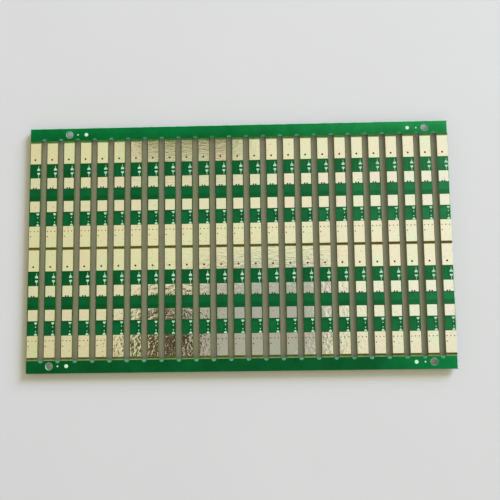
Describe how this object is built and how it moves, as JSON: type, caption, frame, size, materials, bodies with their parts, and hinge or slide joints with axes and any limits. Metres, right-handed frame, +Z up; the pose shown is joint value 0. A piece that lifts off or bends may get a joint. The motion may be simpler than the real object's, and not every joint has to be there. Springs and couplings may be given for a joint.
{
  "type": "battery protection board panel",
  "caption": "Flat green circuit panel of slim battery protection boards, parted by routed slots and V-scores between two rails, gold terminal pads above and the circuit parts below.",
  "frame": {"origin": "centre of the panel in plan, on the surface that the parts of its under side rest on", "axes": "+X along the rails, +Y across the rails towards the battery-minus ends of the boards, +Z up out of the terminal pads"},
  "size_m": [0.148, 0.0866, 0.0022],
  "materials": {
    "masked_laminate": "glass-fibre epoxy laminate under glossy green solder mask",
    "gold_plate": "thin immersion gold over nickel on copper, satin",
    "moulded_epoxy": "black moulded epoxy, matt",
    "resistor_body": "alumina chip under black glaze",
    "capacitor_body": "fired brown ceramic"
  },
  "bodies": {
    "root": {"laminate_panel": "masked_laminate", "battery_minus_pads": "gold_plate", "pack_minus_pads": "gold_plate", "pack_plus_pads": "gold_plate", "battery_plus_pads": "gold_plate", "switch_pairs": "moulded_epoxy", "protection_controllers": "moulded_epoxy", "sense_resistors": "resistor_body", "supply_resistors": "resistor_body", "filter_capacitors": "capacitor_body"}
  },
  "joints": []
}
